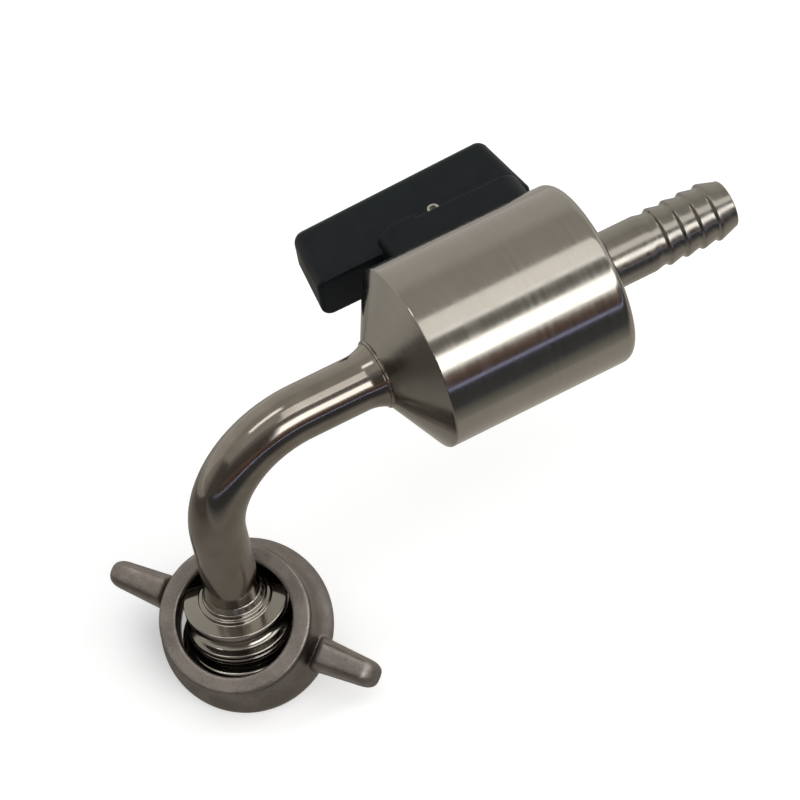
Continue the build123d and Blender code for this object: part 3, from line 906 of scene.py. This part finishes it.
def strip_lamp(name, low, high, left, right, radiance, colour):
    """A long area lamp between two angles. Its power is pi times its area times the brightness it shows."""
    a, b = across(low, lamp_far), across(high, lamp_far)
    light = bpy.data.lights.new(name, "AREA")
    light.shape = "RECTANGLE"
    light.size, light.size_y = right - left, (b - a).length
    light.energy = radiance * math.pi * light.size * light.size_y
    light.color = colour
    lamp = add_object(name, light)
    centre = (a + b) / 2
    away = (centre - middle).normalized()
    run = Vector((1, 0, 0))
    lamp.matrix_world = Matrix((run, away.cross(run), away)).transposed().to_4x4()
    lamp.matrix_world.translation = centre + run * ((left + right) / 2 - middle.x)
    lamp.visible_camera = False


strip_lamp("window lamp", 18.0, 37.0, -0.10, lamp_right, 3.2, warm)
strip_lamp("upper window lamp", 57.5, 83.0, -0.08, lamp_right, 1.32, warm)
strip_lamp("ceiling lamp", 93.0, 103.0, -0.56, -0.04, 2.6, white)
print("lamps placed: 3")

# %% [markdown]
# ## Floor
# The floor is ordinary pale matter that takes the object's shadow. It also has a little light of its own for
# rays from the camera or a mirror, so that it ends in the same white as the world. Under the nut's mouth most
# of that extra light is left out. This paints a soft shadow there, darker than the lamps alone cast, and keeps
# the gap beside the flange from shining.


# %% Floor
def seen_rays(start):
    """1 for a ray that comes from the camera, a mirror or glass, and 0 for light on its way to matter."""
    camera_ray = start.node("ShaderNodeLightPath", out="Is Camera Ray")
    glossy_ray = start.node("ShaderNodeLightPath", out="Is Glossy Ray")
    clear_ray = start.node("ShaderNodeLightPath", out="Is Transmission Ray")
    return start.maths("MINIMUM", camera_ray + glossy_ray + clear_ray, 1.0)


reach = 6.0
corners = [(x * reach, y * reach, floor_z) for x, y in ((-1, -1), (1, -1), (1, 1), (-1, 1))]
floor_mesh = bpy.data.meshes.new("floor")
floor_mesh.from_pydata(corners, [], [(0, 1, 2, 3)])
floor = add_object("floor", floor_mesh)
nut_mouth = (-0.0035, 0.0135, floor_z)
dark_r, open_r, least_glow, more_glow = 0.003, 0.019, 0.12, 0.33
pale, tree = node_material("pale floor")
start = Socket(tree)
seen = seen_rays(start)
place = start.node("ShaderNodeTexCoord", out="Object")
distance = start.node("ShaderNodeVectorMath", {"operation": "DISTANCE"}, {0: place, 1: nut_mouth}, "Value")
between = {"Value": distance, "From Min": dark_r, "From Max": open_r}
outside_painted_shadow = start.node("ShaderNodeMapRange", {"interpolation_type": "SMOOTHSTEP"}, between)
# Painted shadow: under the nut's mouth the floor's own glow is lowered, so the floor looks darker there.
glow_strength = seen * (outside_painted_shadow * more_glow + least_glow)
matt = start.node("ShaderNodeBsdfDiffuse", {}, {"Color": rgb(0.80, 0.80, 0.80)})
glow = start.node("ShaderNodeEmission", {}, {"Color": rgb(1, 1, 1), "Strength": glow_strength})
both = start.node("ShaderNodeAddShader", {}, {0: matt, 1: glow})
tree.links.new(both.socket, tree.nodes["Material Output"].inputs["Surface"])
floor_mesh.materials.append(pale)
print("floor made, with its material", pale.name)

# %% [markdown]
# ## World
# The camera sees a pure white background. As a lamp that white would be too strong and would drown the
# shadow, so for light on its way to matter the world is a little over half as bright.

# %% World
lamp_part, seen_part = 0.55, 0.45
world = bpy.data.worlds.new("white room")
bpy.context.scene.world = world
world.use_nodes = True
tree = world.node_tree
tree.nodes.clear()
start = Socket(tree)
strength = lamp_part + seen_rays(start) * seen_part
room = start.node("ShaderNodeBackground", {}, {"Color": rgb(1, 1, 1), "Strength": strength})
end = tree.nodes.new("ShaderNodeOutputWorld")
tree.links.new(room.socket, end.inputs["Surface"])
print("made the world", world.name)

# %% [markdown]
# ## Camera
# The camera stands where the photograph was taken from. Its place and its three angles were worked out from
# points of the valve whose sizes are known. A new camera looks straight down. This one rolls about its own
# line of sight, then leans up towards the horizon, and last turns to the right. A long lens keeps the
# parallel edges nearly parallel.

# %% Camera
camera_mm = Vector((-116.3422, -434.4399, 559.7834))
roll, lean_up, turn_z, lens_mm = -11.3253648, 41.6561505, -19.5103440, 179.74
camera_data = bpy.data.cameras.new("camera")
camera_data.sensor_width = 36.0
camera_data.lens = lens_mm
camera_data.clip_start, camera_data.clip_end = 0.01, 50.0
camera = add_object("camera", camera_data)
turns = [(turn_z, "Z"), (lean_up, "X"), (roll, "Z")]
turned, leant, rolled = [Matrix.Rotation(math.radians(angle), 4, way) for angle, way in turns]
camera.matrix_world = Matrix.Translation(camera_mm * MM) @ turned @ leant @ rolled
bpy.context.scene.camera = camera
bpy.context.scene.view_settings.view_transform = "Standard"
print("camera at mm:", [round(c / MM, 1) for c in camera.matrix_world.translation])

# %% [markdown]

# %% Finish
print("finished")
